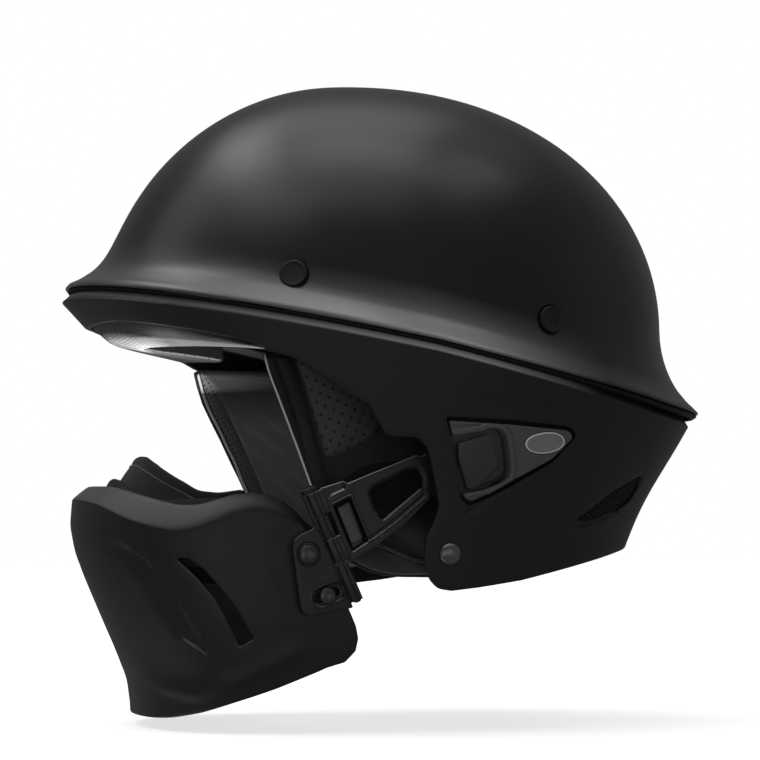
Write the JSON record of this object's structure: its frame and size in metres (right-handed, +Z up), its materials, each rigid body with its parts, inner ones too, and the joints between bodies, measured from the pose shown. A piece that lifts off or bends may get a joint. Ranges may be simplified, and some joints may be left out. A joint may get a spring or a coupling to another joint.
{
  "type": "motorcycle half helmet",
  "caption": "Open-face flared helmet shell with padded lining and a detachable, hinged face guard held in two side pockets by magnets and press catches.",
  "frame": {"origin": "a point in the middle of the head cavity, on the helmet's mirror plane, 115 mm below the crown's top", "axes": "+Z up through the crown, -Y to the wearer's front, +X to the wearer's left"},
  "size_m": [0.2394, 0.3046, 0.2957],
  "materials": {
    "matte_black_shell": "matte moulded shell",
    "rubber_trim": "soft rubber edge trim",
    "matte_black_skirt": "matte, fine orange-peel texture",
    "plug_plastic": "satin moulded plugs",
    "eps_foam": "expanded bead foam, dark grey",
    "comfort_fabric": "brushed knit over foam",
    "perforated_leather": "light grey perforated synthetic leather",
    "flap_padding": "dark padded synthetic leather with light piping",
    "bezel_grey": "satin grey moulded insert",
    "badge_plate": "satin plate, bare",
    "receiver_plastic": "moulded pocket",
    "magnet": "nickel plate",
    "release_grey": "satin grey press plate",
    "mesh_grey": "woven vent mesh",
    "rivet_steel": "domed, dark nickel",
    "webbing": "woven nylon webbing",
    "ring_steel": "polished rings",
    "arm_grey": "satin dark grey moulded",
    "bracket_grey": "satin dark grey moulded",
    "muzzle_black": "matte moulded shell",
    "seal_rubber": "soft moulded seal",
    "screw_steel": "black-zinc button head"
  },
  "bodies": {
    "helmet": {"outer_shell": "matte_black_shell", "rim_trim": "rubber_trim", "lower_shell": "matte_black_skirt", "snap_plugs": "plug_plastic", "eps_liner": "eps_foam", "skirt_foam": "eps_foam", "crown_liner": "comfort_fabric", "brow_lining": "perforated_leather", "cheek_flap_left": "flap_padding", "cheek_flap_right": "flap_padding", "neck_roll": "comfort_fabric", "bezel_left": "bezel_grey", "bezel_right": "bezel_grey", "badge_left": "badge_plate", "badge_right": "badge_plate", "receiver_left": "receiver_plastic", "receiver_right": "receiver_plastic", "receiver_magnets": "magnet", "vent_mesh_left": "mesh_grey", "vent_mesh_right": "mesh_grey", "strap_rivets": "rivet_steel", "strap_left": "webbing", "strap_right": "webbing", "d_rings": "ring_steel"},
    "left_release": {"release_tab_left": "release_grey"},
    "right_release": {"release_tab_right": "release_grey"},
    "left_arm": {"arm_left": "arm_grey", "arm_magnets_left": "magnet"},
    "right_arm": {"arm_right": "arm_grey", "arm_magnets_right": "magnet"},
    "left_arm_tab": {"arm_tab_left": "bracket_grey"},
    "right_arm_tab": {"arm_tab_right": "bracket_grey"},
    "left_bracket": {"bracket_left": "bracket_grey", "hinge_pin_left": "screw_steel"},
    "right_bracket": {"bracket_right": "bracket_grey", "hinge_pin_right": "screw_steel"},
    "muzzle": {"muzzle_shell": "muzzle_black", "nose_seal": "seal_rubber", "muzzle_liner": "comfort_fabric", "bracket_screws_left": "screw_steel", "bracket_screws_right": "screw_steel"}
  },
  "joints": [
    {"name": "left_release_press", "type": "slide", "parent": "helmet", "child": "left_release", "axis": [-1, 0, 0], "range_m": [0, 0.0025], "stiffness_N_per_m": 900},
    {"name": "right_release_press", "type": "slide", "parent": "helmet", "child": "right_release", "axis": [1, 0, 0], "range_m": [0, 0.0025], "stiffness_N_per_m": 900},
    {"name": "muzzle_pull", "type": "slide", "parent": "helmet", "child": "left_arm", "axis": [0, -0.9178, -0.3971], "range_m": [0, 0.06]},
    {"name": "left_arm_tab_press", "type": "slide", "parent": "left_arm", "child": "left_arm_tab", "axis": [-1, 0, 0], "range_m": [0, 0.0015], "stiffness_N_per_m": 900},
    {"name": "muzzle_swing", "type": "hinge", "parent": "left_arm", "child": "left_bracket", "pos_m": [0.0915, -0.0412, -0.1014], "axis": [0, -0.3971, 0.9178], "range_deg": [0, 100]},
    {"name": "muzzle_tilt", "type": "hinge", "parent": "left_bracket", "child": "muzzle", "pos_m": [0, -0.05245, -0.10562], "axis": [1, 0, 0], "range_deg": [-8, 8]},
    {"name": "right_bracket_tilt", "type": "hinge", "parent": "muzzle", "child": "right_bracket", "pos_m": [-0.0875, -0.05245, -0.10562], "axis": [1, 0, 0], "range_deg": [-8, 8]},
    {"name": "right_arm_fold", "type": "hinge", "parent": "right_bracket", "child": "right_arm", "pos_m": [-0.0915, -0.0412, -0.1014], "axis": [0, -0.3971, 0.9178], "range_deg": [-60, 0]},
    {"name": "right_arm_tab_press", "type": "slide", "parent": "right_arm", "child": "right_arm_tab", "axis": [1, 0, 0], "range_m": [0, 0.0015], "stiffness_N_per_m": 900}
  ],
  "couplings": [
    {"joint": "right_bracket_tilt", "follows": "muzzle_tilt", "ratio": -1},
    {"joint": "right_arm_fold", "follows": "muzzle_swing", "ratio": -0.6}
  ]
}
